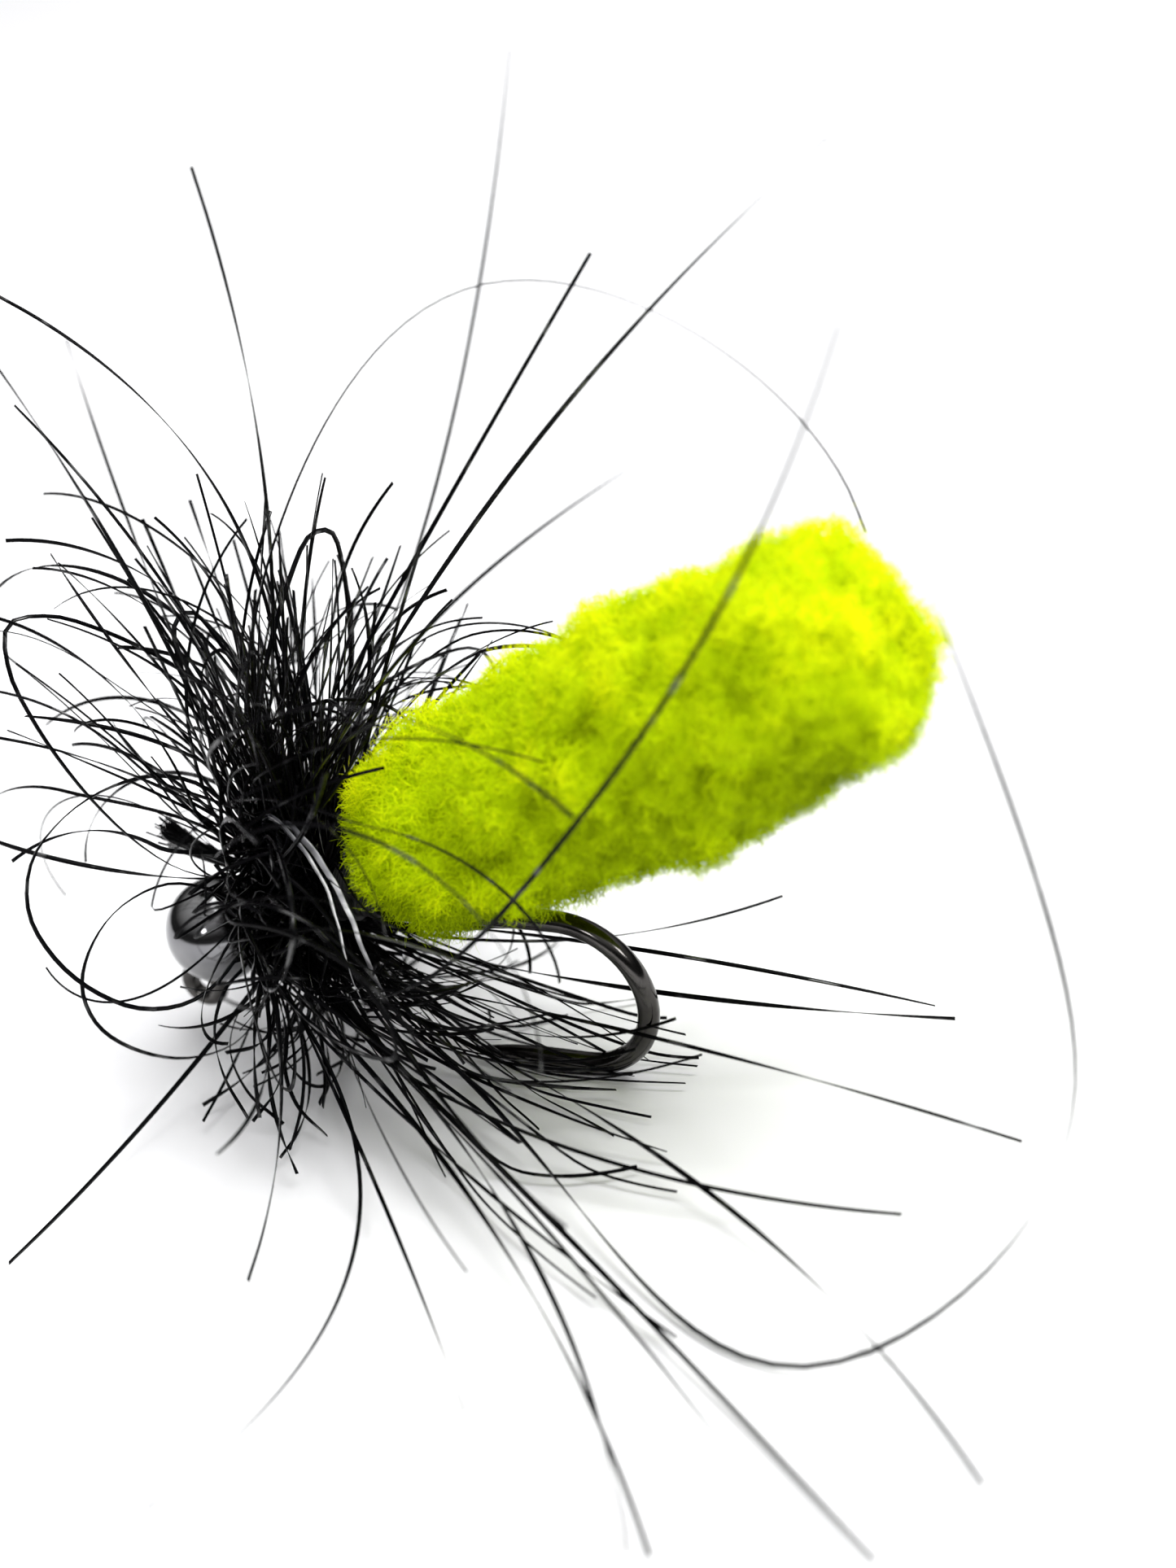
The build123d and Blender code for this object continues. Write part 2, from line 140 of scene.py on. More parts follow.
def thread(name, dark, light):
    """Waxed thread wound round the shank: fine ridges across it."""
    m, tree, shader = new_material(name)
    shader.inputs["Roughness"].default_value = 0.5
    place = add_node(tree, "ShaderNodeTexCoord")
    wave = add_node(tree, "ShaderNodeTexWave", Scale=2600.0, Distortion=1.5, Detail=2.0)
    tree.links.new(place.outputs["Object"], wave.inputs["Vector"])
    # painted shade: the colour follows the ridges' height, dark in the grooves and light on the crests
    ramp_colour(tree, wave.outputs["Fac"], [(0.0, dark), (1.0, light)])
    bumped(tree, wave.outputs["Fac"], 0.6)
    return m


def glints(material, scale, low, high):
    """Specular level that is low along most of a fibre and high in short stretches."""
    tree = material.node_tree
    level = add_node(tree, "ShaderNodeMapRange", From_Min=0.60, From_Max=0.72, To_Min=low, To_Max=high)
    tree.links.new(object_noise(tree, scale, 1.0), level.inputs["Value"])
    tree.links.new(level.outputs["Result"], tree.nodes["Principled BSDF"].inputs["Specular IOR Level"])


def fibre(name, stops, roughness, sheen=0.0, specular=0.5, sheen_tint=(1, 1, 1)):
    """Fibre whose colour follows the mesh attribute 'shade', 0 to 1."""
    m, tree, shader = new_material(name)
    shade = add_node(tree, "ShaderNodeAttribute")
    shade.attribute_name = "shade"
    ramp_colour(tree, shade.outputs["Fac"], stops)
    shader.inputs["Roughness"].default_value = roughness
    shader.inputs["Specular IOR Level"].default_value = specular
    shader.inputs["Sheen Weight"].default_value = sheen
    shader.inputs["Sheen Tint"].default_value = (*sheen_tint, 1)
    return m


black_nickel = metal("black_nickel", (0.050, 0.047, 0.045), (0.11, 0.105, 0.10), 0.10, 0.22, 900.0, 0.15)
bead_nickel = metal("bead_nickel", (0.19, 0.19, 0.20), (0.31, 0.31, 0.31), 0.07, 0.16, 500.0, 0.08)
black_thread = thread("black_thread", (0.006, 0.006, 0.007), (0.03, 0.03, 0.032))
core_wire = metal("core_wire", (0.05, 0.05, 0.05), (0.12, 0.12, 0.12), 0.3, 0.45, 900.0, 0.2)
green_thread = thread("chenille_thread", (0.20, 0.28, 0.01), (0.45, 0.60, 0.03))
BLACK_STOPS = [(0.0, (0.0006, 0.0006, 0.0008)), (0.7, (0.003, 0.003, 0.0036)), (1.0, (0.045, 0.045, 0.05))]
# the flash ramp paints a glint: dark tape at the low end, white at the top
FLASH_GLINT_STOPS = [(0.0, (0.02, 0.02, 0.025)), (0.25, (0.35, 0.35, 0.37)), (0.5, (1.0, 1.0, 1.0))]
# in the pile and its ground, the dark ends of these ramps are largely painted shade and the bright ends painted light
PILE_TONE_AND_SHADE_STOPS = [(0.0, (0.12, 0.19, 0.0)), (0.45, (0.56, 0.74, 0.0)), (1.0, (0.98, 1.0, 0.003))]
GROUND_TONE_AND_SHADE_STOPS = [(0.0, (0.08, 0.125, 0.0)), (1.0, (0.56, 0.73, 0.001))]
LIME_TINT = (0.9, 1.0, 0.1)
black_tape = fibre("black_tape", BLACK_STOPS, 0.22)
glints(black_tape, 900.0, 0.04, 1.0)
flash_tape = fibre("flash_tape", FLASH_GLINT_STOPS, 0.12, specular=1.0)
pile_fibre = fibre("chartreuse_fibre", PILE_TONE_AND_SHADE_STOPS, 0.8, 0.06, 0.05, LIME_TINT)
pile_ground = fibre("chartreuse_ground", GROUND_TONE_AND_SHADE_STOPS, 0.9, 0.04, 0.05, LIME_TINT)

# painted light: a weak glow brightens the pile, so it gives back a little more light than falls on it; its dye is
# fluorescent
for pile_material in (pile_fibre, pile_ground):
    pile_shader = pile_material.node_tree.nodes["Principled BSDF"]
    pile_shader.inputs["Emission Color"].default_value = (0.72, 0.92, 0.0, 1.0)
    pile_shader.inputs["Emission Strength"].default_value = 0.07

# head cement: clear gloss over black thread
cement, tree, shader = new_material("head_cement")
ramp_colour(tree, object_noise(tree, 2000.0), [(0.3, (0.006, 0.006, 0.007)), (0.8, (0.02, 0.02, 0.022))])
shader.inputs["Roughness"].default_value = 0.08
shader.inputs["Coat Weight"].default_value = 1.0


def dress(node, material):
    """The material on every slot of a CAD node."""
    mesh_object = nodes[node]
    if not mesh_object.data.materials:
        mesh_object.data.materials.append(material)
    for place in mesh_object.material_slots:
        place.material = material


dress("hook", black_nickel)
dress("bead", bead_nickel)
dress("head_cement", cement)
dress("collar_core", core_wire)
for node in ("thread_base", "head_wraps", "whip_finish", "collar_lashing", "strand_lashing"):
    dress(node, black_thread)
for node in ("strand_root", "strand_neck", "strand_core"):
    dress(node, green_thread)


# ---------------------------------------------------------------- fibres as closed meshes
def resample(points, count):
    """A polyline through points, smoothed and cut into evenly spaced points."""
    p = np.vstack([2 * points[0] - points[1], points, 2 * points[-1] - points[-2]])
    t = np.linspace(0, 1, 7)[:-1, None]
    parts = []
    for a, b, c, d in zip(p[:-3], p[1:-2], p[2:-1], p[3:]):
        square, cube = 2 * a - 5 * b + 4 * c - d, 3 * b - a - 3 * c + d
        parts.append(0.5 * (2 * b + (c - a) * t + square * t**2 + cube * t**3))
    fine = np.vstack(parts + [points[-1:]])
    along = np.concatenate([[0], np.cumsum(np.linalg.norm(np.diff(fine, axis=0), axis=1))])
    stations = np.linspace(0, along[-1], count)
    return np.stack([np.interp(stations, along, fine[:, i]) for i in range(3)], axis=1)


def fibre_mesh(name, lines, width, thick, sides, phase, turns, tip, shade):
    """Closed fibres along lines (n, k, 3), width by thick across and turned along their length.

    tip scales the outer end. Each fibre has its own cell in the UV map.
    """
    n, k, _ = lines.shape
    along = unit(np.gradient(lines, axis=1))
    helper = np.where(np.abs(along[:, 0, 2:3]) < 0.9, [[0.0, 0.0, 1.0]], [[1.0, 0.0, 0.0]])
    across = [unit(np.cross(along[:, 0], helper))]
    for i in range(1, k):
        last = across[-1]
        across.append(unit(last - along[:, i] * np.sum(last * along[:, i], axis=1, keepdims=True)))
    across = np.stack(across, axis=1)
    beside = np.cross(along, across)
    t = np.linspace(0, 1, k)
    turn = (phase[:, None] + 2 * np.pi * turns[:, None] * t)[..., None]
    wide = across * np.cos(turn) + beside * np.sin(turn)
    thin = beside * np.cos(turn) - across * np.sin(turn)
    end = np.interp(t, [0.55, 1.0], [1.0, tip])[None, :, None]
    half_w = 0.5 * width[:, None, None] * end
    half_t = 0.5 * thick[:, None, None] * end
    corner = 2 * np.pi * (np.arange(sides) + 0.5) / sides
    stretch = 1 / np.cos(np.pi / sides) if sides == 4 else 1.0
    rings = [lines + wide * half_w * math.cos(c) * stretch + thin * half_t * math.sin(c) * stretch for c in corner]
    verts = np.stack(rings, axis=2).reshape(-1, 3)

    ring = np.arange(sides)
    following = (ring + 1) % sides
    row = np.arange(k - 1)[:, None] * sides
    side_faces = np.stack([row + ring, row + following, row + sides + following, row + sides + ring], axis=-1)
    base = (np.arange(n) * k * sides)[:, None, None]
    quads = (base + side_faces.reshape(1, -1, 4)).reshape(-1)
    first = (base[:, 0] + ring[::-1]).reshape(-1)
    last = (base[:, 0] + (k - 1) * sides + ring).reshape(-1)
    loops = np.concatenate([quads, first, last])
    starts = np.concatenate([np.arange(0, len(quads), 4), len(quads) + np.arange(0, len(first) + len(last), sides)])

    mesh = bpy.data.meshes.new(name)
    mesh.vertices.add(len(verts))
    mesh.vertices.foreach_set("co", verts.astype(np.float32).ravel())
    mesh.loops.add(len(loops))
    mesh.loops.foreach_set("vertex_index", loops.astype(np.int32))
    mesh.polygons.add(len(starts))
    mesh.polygons.foreach_set("loop_start", starts.astype(np.int32))

    grid = math.ceil(math.sqrt(n))
    cell = np.stack([np.arange(n) % grid, np.arange(n) // grid], axis=1) / grid
    u = 0.1 + 0.8 * t
    v = 0.1 + 0.8 * np.arange(sides + 1) / sides
    low_u, high_u = np.repeat(u[:-1], sides), np.repeat(u[1:], sides)
    low_v, high_v = np.tile(v[:-1], k - 1), np.tile(v[1:], k - 1)
    quad_uv = np.stack([low_u, low_v, low_u, high_v, high_u, high_v, high_u, low_v], axis=1).reshape(1, -1, 2)
    quad_uv = (cell[:, None] + quad_uv / grid).reshape(-1, 2)
    disc = np.stack([0.05 + 0.03 * np.cos(corner), 0.5 + 0.3 * np.sin(corner)], axis=1)
    first_uv = (cell[:, None] + disc[::-1][None] / grid).reshape(-1, 2)
    last_uv = (cell[:, None] + (disc + [0.9, 0])[None] / grid).reshape(-1, 2)
    uv = mesh.uv_layers.new(name="OFBake")
    uv.data.foreach_set("uv", np.vstack([quad_uv, first_uv, last_uv]).astype(np.float32).ravel())

    tone = mesh.attributes.new("shade", "FLOAT", "POINT")
    values = shade if shade.ndim == 2 else np.repeat(shade[:, None], k, axis=1)
    tone.data.foreach_set("value", np.repeat(values.reshape(-1), sides).astype(np.float32))
    mesh.update(calc_edges=True)
    piece = bpy.data.objects.new(name, mesh)
    bpy.context.scene.collection.objects.link(piece)
    return piece


def finish_piece(piece, material):
    """The piece with its material."""
    piece.data.materials.append(material)
    return piece


def black_tapes(name, lines, width_range, thick_range, twist, tip, shade_top, shade_power=1.0):
    """Flat black filaments along lines, each with its own width, thickness, twist and shade."""
    n = len(lines)
    piece = fibre_mesh(
        name, lines, rng.uniform(*width_range, n) * MM, rng.uniform(*thick_range, n) * MM,
        4, rng.uniform(0, CIRCLE, n), rng.uniform(-twist, twist, n), tip, rng.uniform(0, shade_top, n) ** shade_power,
    )
    return finish_piece(piece, black_tape)


# ---------------------------------------------------------------- centre lines out of the CAD strands
def welded(mesh):
    """Vertex places with doubles joined, and edges between them."""
    co = np.empty(len(mesh.vertices) * 3, np.float32)
    mesh.vertices.foreach_get("co", co)
    ends = np.empty(len(mesh.edges) * 2, np.int32)
    mesh.edges.foreach_get("vertices", ends)
    places, index = np.unique(np.round(co.reshape(-1, 3) / 1e-6).astype(np.int64), axis=0, return_inverse=True)
    return places * 1e-6, index.reshape(-1)[ends.reshape(-1, 2)]


RING = 0.5 * MM         # edges shorter than this run round a strand, longer ones along it


def strand_lines(node):
    """Centre line of each strand in a CAD node, root first: the strand's mesh is a chain of rings."""
    places, ends = welded(nodes[node].data)
    length = np.linalg.norm(places[ends[:, 0]] - places[ends[:, 1]], axis=1)
    short = ends[length < RING]
    label = np.arange(len(places))
    while True:
        low = np.minimum(label[short[:, 0]], label[short[:, 1]])
        before = label.copy()
        np.minimum.at(label, short[:, 0], low)
        np.minimum.at(label, short[:, 1], low)
        if np.array_equal(before, label):
            break
    rings, member = np.unique(label, return_inverse=True)
    member = member.reshape(-1)
    size = np.bincount(member)
    centre = np.stack([np.bincount(member, places[:, i]) / size for i in range(3)], axis=1)
    joined = {ring: set() for ring in range(len(rings))}
    for a, b in member[ends[length >= RING]]:
        if a != b:
            joined[a].add(b)
            joined[b].add(a)
    lines = []
    unused = set(joined)
    for ring in sorted(joined, key=lambda r: np.linalg.norm(centre[r] - SHANK_MID)):
        if ring not in unused or len(joined[ring]) != 1:
            continue
        chain = [ring]
        unused.discard(ring)
        while True:
            ahead = [r for r in joined[chain[-1]] if r in unused]
            if not ahead:
                break
            chain.append(ahead[0])
            unused.discard(ahead[0])
        lines.append(centre[chain])
    return lines


COLLAR_FRONT, COLLAR_BACK, COLLAR_REACH = 2.4 * MM, 9.0 * MM, 4.4 * MM


def rooted(line):
    """The line with each end that stops at the collar carried in to the shank."""
    for _ in range(2):
        start = line[0]
        out = np.array([0.0, start[1], start[2] - SHANK_Z])
        if COLLAR_FRONT < start[0] < COLLAR_BACK and np.linalg.norm(out) < COLLAR_REACH:
            inner = np.array([start[0] * 0.8 + COLLAR_X * 0.2, 0.0, SHANK_Z]) + unit(out) * 0.7 * MM
            line = np.vstack([inner, line])
        line = line[::-1]
    return line


# ---------------------------------------------------------------- collar filaments
SECTORS = {
    "top_filaments": ("top_fan", (0, 0, 1)),
    "near_filaments": ("near_fan", (0, -1, 0)),
    "bottom_filaments": ("bottom_fan", (0, 0, -1)),
    "far_filaments": ("far_fan", (0, 1, 0)),
}
TAPE_POINTS = 56


def follow_fan(piece, fan, outward):
    """The piece's placement applied to its mesh, so it stays where it is; fan and outward are not used."""
    middle, outward = Vector(SHANK_MID), Vector(outward)
    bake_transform(piece)


for node in list(SECTORS) + ["front_filaments", "trailing_filaments"]:
    lines = np.stack([resample(rooted(line), TAPE_POINTS) for line in strand_lines(node)])
    n = len(lines)
    # painted light: filaments on the far side of the collar are coloured lighter; the random part is their own tone
    far_side_painted_light = np.clip(lines[:, :, 1].mean(axis=1) / (8 * MM), 0, 1)
    shade = np.clip(rng.uniform(0.0, 0.55, n) + 0.5 * far_side_painted_light, 0, 1)
    piece = fibre_mesh(
        node + "_tapes", lines, rng.uniform(0.12, 0.19, n) * MM, rng.uniform(0.03, 0.045, n) * MM,
        4, rng.uniform(0, CIRCLE, n), rng.uniform(-1.6, 1.6, n), 0.85, shade,
    )
    finish_piece(piece, black_tape)
    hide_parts(node)
    if node in SECTORS:
        follow_fan(piece, *SECTORS[node])
    else:
        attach(piece, "hook_body")


FLOOR_BEND = 0.5 * MM   # how gently a strand bends on to the floor
STRAND_POINTS = 36
BURST_POINTS = 14
CORE_R = 0.55 * MM      # where the underfur leaves the shank


def floor_gap(count):
    """How far each of the strands that lie down stays above the floor."""
    return rng.uniform(0.1, 0.5, (count, 1)) * MM


def off_floor(lines, gap):
    """Lines that would go below the floor bend and run along it at a gap."""
    low = LOW_Z + gap
    rise = lines[:, :, 2] - low
    lines[:, :, 2] = low + 0.5 * (rise + np.sqrt(rise**2 + FLOOR_BEND**2)) - 0.05 * MM
    return lines


def collar_burst(count, clock_mid, clock_spread, turn_range, reach_range, lean_range, curl):
    """Strands that leave the shank, wind part of the way round it and then run outward, leaning and curling.

    clock_mid and clock_spread say where their ends point: 0 is up, 90 the near side, 180 down.
    """
    t = np.linspace(0, 1, BURST_POINTS)[None]
    end_clock = np.radians(rng.normal(clock_mid, clock_spread, count))[:, None]
    turn = np.radians(rng.uniform(*turn_range, count) * rng.choice([-1, 1], count))[:, None]
    reach = rng.uniform(*reach_range, count)[:, None] * MM
    lean = np.tan(np.radians(rng.uniform(*lean_range, count)))[:, None]
    bend = rng.normal(0, curl, (2, count, 1))
    angle = end_clock - turn * (1 - t) ** 1.8 + bend[0] * 0.35 * t**2
    out = CORE_R + (reach - CORE_R) * t**1.15 * (1 - 0.22 * np.abs(bend[1]) * t**2)
    x = COLLAR_X + rng.uniform(-1.5, 1.7, (count, 1)) * MM + lean * out * t**0.5 + bend[1] * 0.30 * reach * t**2
    lines = np.stack([x, -np.sin(angle) * out, SHANK_Z + np.cos(angle) * out], axis=-1)
    lines += rng.normal(0, 0.09, (count, 1, 3)) * MM * np.sin(2 * np.pi * t)[..., None]
    return off_floor(lines, floor_gap(count))


def wander(count, clock_range, lean_range, length_range, radius_range):
    """Strands that grow out of the collar with a steady bend, so that some arch and some curl into loops."""
    clock = np.radians(rng.uniform(*clock_range, count))
    lean = np.radians(rng.uniform(*lean_range, count))[:, None]
    outward = np.stack([np.zeros(count), -np.sin(clock), np.cos(clock)], axis=1)
    heading = outward * np.cos(lean) + np.array([1.0, 0.0, 0.0]) * np.sin(lean)
    place = SHANK_MID + outward * 0.6 * MM
    place[:, 0] += rng.uniform(-1.6, 1.9, count) * MM
    step = rng.uniform(*length_range, count)[:, None] * MM / (STRAND_POINTS - 1)
    radius = np.exp(rng.uniform(*np.log(radius_range), (count, 1))) * MM
    early, late = rng.uniform(0.1, 0.9, (2, count, 1))
    axis = rng.normal(0, 1, (count, 3))
    axis = unit(axis - heading * np.sum(axis * heading, axis=1, keepdims=True))
    drift = rng.normal(0, 0.035, (count, 3))
    lines = [place]
    for i in range(1, STRAND_POINTS):
        t = i / (STRAND_POINTS - 1)
        angle = step / radius * (early + late * 1.4 * t)
        heading = unit(heading * np.cos(angle) + np.cross(axis, heading) * np.sin(angle))
        axis = unit(axis + drift - heading * np.sum((axis + drift) * heading, axis=1, keepdims=True))
        place = place + heading * step
        lines.append(place)
    lines = np.stack(lines, axis=1)
    return off_floor(lines, floor_gap(count))


BEAD_GAP = 2.4 * MM     # from the middle of the bead
EYE_GAP = 1.1 * MM      # from the middle of the eye, which is the origin


def clear_of_others(lines):
    """Which strands stay out of the chenille, the bead and the eye."""
    rel = lines - AXIS_P
    s = rel @ AXIS_D
    off = np.linalg.norm(rel - s[..., None] * AXIS_D, axis=-1)
    limit = np.interp(s, pile_s, pile_r) + 0.05 * MM
    in_pile = (s > pile_s[0]) & (off < limit)
    bead_low, bead_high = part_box("bead")
    bead_mid = (np.array(bead_low) + np.array(bead_high)) / 2
    in_bead = np.linalg.norm(lines - bead_mid, axis=-1) < BEAD_GAP
    in_eye = np.linalg.norm(lines, axis=-1) < EYE_GAP
    return ~(in_pile | in_bead | in_eye).any(axis=1)


# outline of the chenille, read off its CAD solid: distance along the strand and radius
pile_co, _ = welded(nodes["strand_pile"].data)
pile_rel = pile_co - AXIS_P
pile_along = pile_rel @ AXIS_D
pile_off = np.linalg.norm(pile_rel - pile_along[:, None] * AXIS_D, axis=1)
GRID = 0.05             # step along the strand in mm
corners = []
for key in np.unique(np.round(pile_along / (GRID * MM)).astype(int)):
    here = np.abs(pile_along - key * GRID * MM) < 0.04 * MM
    corners.append((key * GRID * MM, pile_off[here].max()))
corners = np.array(corners)
hull = [corners[0]]
for place in corners[1:]:
    while len(hull) > 1:
        (ax, ay), (bx, by) = hull[-2], hull[-1]
        if (bx - ax) * (place[1] - ay) - (by - ay) * (place[0] - ax) < 0:
            break
        hull.pop()
    hull.append(place)
hull = np.array(hull)
pile_s, pile_r = hull[:, 0], hull[:, 1]

FLASH_POINTS = 60
GLINT_STRETCH = slice(26, 52)      # points of a flash strand's painted glint, its bright stretch
flash_lines = np.stack([resample(rooted(line), FLASH_POINTS) for line in strand_lines("flash_strands")])

NEAR_AND_UP = np.array([0.35, -1.0, 0.45])

# the collar is parted on its near side, over the painted glint of the flash strands and over the bead
# rows of: places, how far every strand keeps from them
PARTING = [
    (flash_lines[:, GLINT_STRETCH].reshape(-1, 3) + NEAR_AND_UP * step * MM, 0.34 * MM) for step in (0.6, 1.1, 1.6, 2.1, 2.6)
]
PARTING.append((np.array([[2.9, -2.4, 4.6], [3.6, -4.4, 5.8]]) * MM, 1.5 * MM))


def beside_parting(lines):
    """Which strands keep out of the parting."""
    kept = np.ones(len(lines), bool)
    for places, gap in PARTING:
        for place in places:
            kept &= (np.linalg.norm(lines - place, axis=-1) > gap).all(axis=1)
    return kept


UNDERFUR = [
    # count, clock they end at, its spread, turn range, reach range in mm, lean range, curl
    (1500, 0, 105, (60, 150), (1.4, 2.8), (-6, 20), 0.4),
    (270, 0, 24, (20, 100), (2.8, 5.0), (-4, 24), 0.35),
    (330, 105, 28, (40, 110), (2.3, 3.3), (-4, 24), 0.5),
    (300, 255, 28, (40, 110), (2.3, 3.3), (-4, 24), 0.5),
    (80, 172, 34, (10, 80), (2.2, 3.2), (22, 58), 0.6),
]
for number, row in enumerate(UNDERFUR, 1):
    lines = collar_burst(*row)
    lines = lines[clear_of_others(lines) & beside_parting(lines)]
    piece = black_tapes(f"underfur_{number}", lines, (0.10, 0.21), (0.025, 0.04), 0.4, 0.9, 0.8, 1.5)
    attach(piece, "hook_body")
    if number == 1:
        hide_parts("collar_pile")


def arcs(count, x_range, z_range, angle_range, radius_range, turn_range, y_range, side, lowest=-math.inf):
    """Strands that come out of the collar, move across to a plane y and turn in it, to one side (+1 or -1).

    Those that come down below the lowest height are left out. Lengths are in mm.
    """
    place = rng.uniform([x_range[0], z_range[0]], [x_range[1], z_range[1]], (count, 2)) * MM
    angle = np.radians(rng.uniform(*angle_range, count))
    radius = np.exp(rng.uniform(*np.log(radius_range), count)) * MM
    step = radius * np.radians(rng.uniform(*turn_range, count)) / (STRAND_POINTS - 1)
    change = rng.uniform(-0.5, 0.7, count)
    track = [place]
    for i in range(1, STRAND_POINTS):
        place = place + np.stack([np.cos(angle), np.sin(angle)], axis=1) * step[:, None]
        angle = angle + side * step / radius * (0.6 + change * i / STRAND_POINTS)
        track.append(place)
    track = np.stack(track, axis=1)
    t = np.linspace(0, 1, STRAND_POINTS)[None]
    across = np.clip(t / rng.uniform(0.28, 0.55, (count, 1)), 0, 1)
    across = across * across * (3 - 2 * across)
    depth = rng.uniform(*y_range, (count, 1)) * MM
    y = depth * (0.12 + 0.88 * across) + rng.normal(0, 3.0, (count, 1)) * MM * np.clip(t - 0.3, 0, 1) ** 2
    lines = np.stack([track[..., 0], y, track[..., 1]], axis=-1)
    lines = off_floor(lines, floor_gap(count))
    return lines[(lines[:, 1:, 2] > lowest * MM).all(axis=1)]


FAN_STRANDS = {
    # rows of: count, clock range, lean range, length range in mm, bend radius range in mm
    "top_filaments": [
        (125, (-22, 26), (-5, 25), (6.0, 16.0), (9, 80)),
        (46, (-45, 50), (-22, 40), (7, 16), (2.6, 7)),
    ],
    "near_filaments": [
        (18, (60, 112), (10, 55), (4, 11), (2.2, 10)),
        (12, (100, 136), (40, 68), (9, 22), (12, 70)),
    ],
    "bottom_filaments": [
        (30, (150, 215), (45, 76), (6, 18), (12, 80)),
        (10, (135, 225), (10, 55), (3.5, 7), (1.6, 4)),
    ],
    "far_filaments": [(90, (240, 330), (-20, 45), (5, 13), (3, 30))],
}
FAN_ARCS = {
    # rows of: count, ranges for x and z of the root, heading, bend radius, turn and y, side, lowest height
    "top_filaments": [(24, (4.2, 6.8), (4.8, 6.5), (66, 112), (2.8, 6.5), (100, 260), (-4.5, 4.0), 1)],
    "near_filaments": [
        (70, (5.0, 7.2), (4.6, 7.0), (30, 92), (2.4, 5.5), (90, 300), (-8.5, -4.6), -1, 4.6),
        (12, (5.4, 7.4), (5.0, 7.0), (0, 50), (3.0, 7.0), (60, 200), (-6.8, -5.2), 1, 4.6),
        (16, (5.0, 7.2), (3.0, 4.6), (-75, -20), (1.0, 1.8), (120, 300), (-4.0, -1.5), -1),
    ],
    "bottom_filaments": [(22, (6.0, 7.6), (3.0, 4.2), (-40, 5), (5.0, 14.0), (40, 90), (-4.8, -2.6), 1)],
    "far_filaments": [(20, (5.0, 7.0), (4.6, 6.5), (60, 110), (3.0, 6.0), (90, 200), (4.8, 6.5), -1)],
}
for node, rows in FAN_STRANDS.items():
    lines = np.vstack([wander(*row) for row in rows] + [arcs(*row) for row in FAN_ARCS[node]])
    lines = lines[clear_of_others(lines) & beside_parting(lines)]
    piece = black_tapes(node + "_short_tapes", lines, (0.07, 0.17), (0.025, 0.038), 0.9, 0.85, 0.7)
    follow_fan(piece, *SECTORS[node])

# ---------------------------------------------------------------- frayed cut end of the brush core
low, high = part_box("core_tag")
tag_root = np.array([high.x, 0.0, low.z + 0.2 * MM])
tag_tip = np.array([low.x, 0.0, high.z - 0.3 * MM])
TAG_FIBRES = 130
spread = rng.normal(0, 1, (TAG_FIBRES, 3))
t = np.linspace(0, 1, 9)[None, :, None]
sag = np.array([0.0, 0.0, -0.12 * MM]) * np.sin(np.pi * t)
bundle = tag_root + (tag_tip - tag_root) * t * rng.uniform(0.72, 1.06, (TAG_FIBRES, 1, 1)) + sag
bundle = bundle + spread[:, None] * MM * (0.09 + 0.16 * t**3)
tag = black_tapes("frayed_tag", bundle, (0.06, 0.12), (0.03, 0.05), 1, 0.7, 0.6)
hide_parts("core_tag")
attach(tag, "hook_body")

# ---------------------------------------------------------------- flash strands
flash_lines[:, :, 1] += 0.02 * MM * np.sin(np.linspace(0, 60, FLASH_POINTS))[None]
along = np.linspace(0, 1, FLASH_POINTS)[None]
# painted glint: each flash strand is coloured white along a stretch past its middle and dark elsewhere, the second
# one dimmer
glint = np.exp(-((along - 0.72) / 0.16) ** 2) * (0.75 + 0.25 * np.sin(along * 90))
flash = fibre_mesh(
    "flash_tapes", flash_lines, np.array([0.27, 0.22]) * MM, np.array([0.03, 0.03]) * MM,
    4, np.array([0.4, 0.9]), np.array([0.15, 0.2]), 0.9, np.clip(glint * [[1.0], [0.55]], 0, 1),
)
finish_piece(flash, flash_tape)
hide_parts("flash_strands")
follow_fan(flash, *SECTORS["near_filaments"])

# ---------------------------------------------------------------- chenille: lobed ground and curly fibre
TUFTS, TUFT_R = 1000, 0.62 * MM                 # how many small lobes, and the radius of one
LUMPS, LUMP_R, LUMP_RISE = 150, 0.80, 1.70      # how many big lumps, their radius and greatest rise in mm
SKIN_SINK, GROUND_SINK = 0.66 * MM, 1.10 * MM   # how far below the CAD outline the pile's skin and its ground lie
PAINTED_LIGHT_SIDE = unit(np.array([0.45, 0.0, 0.9]))     # painted shade: the pile is coloured darker on its underside, lighter on the side facing this way
SMOOTH = 25                                     # points averaged along the outline

# the outline cut into even steps and smoothed: station, radius, outward slope and share of the area
edge = np.vstack([hull, [hull[-1][0], 0.0]]) if hull[-1][1] > 0.1 * MM else hull
run = np.concatenate([[0], np.cumsum(np.linalg.norm(np.diff(edge, axis=0), axis=1))])
arc = np.linspace(0, 1, 400) * run[-1]
kernel = np.ones(SMOOTH) / SMOOTH
s_fine = np.convolve(np.pad(np.interp(arc, run, edge[:, 0]), SMOOTH // 2, mode="edge"), kernel, "valid")
r_fine = np.pad(np.interp(arc, run, edge[:, 1]), SMOOTH // 2, mode="reflect", reflect_type="odd")
r_fine = np.maximum(np.convolve(r_fine, kernel, "valid"), 0)
slope = unit(np.stack([-np.gradient(r_fine), np.gradient(s_fine)], axis=1))
ring_area = (r_fine[1:] + r_fine[:-1]) / 2 * np.hypot(np.diff(s_fine), np.diff(r_fine))
area = np.concatenate([[0], np.cumsum(ring_area)])
area = area / area[-1]


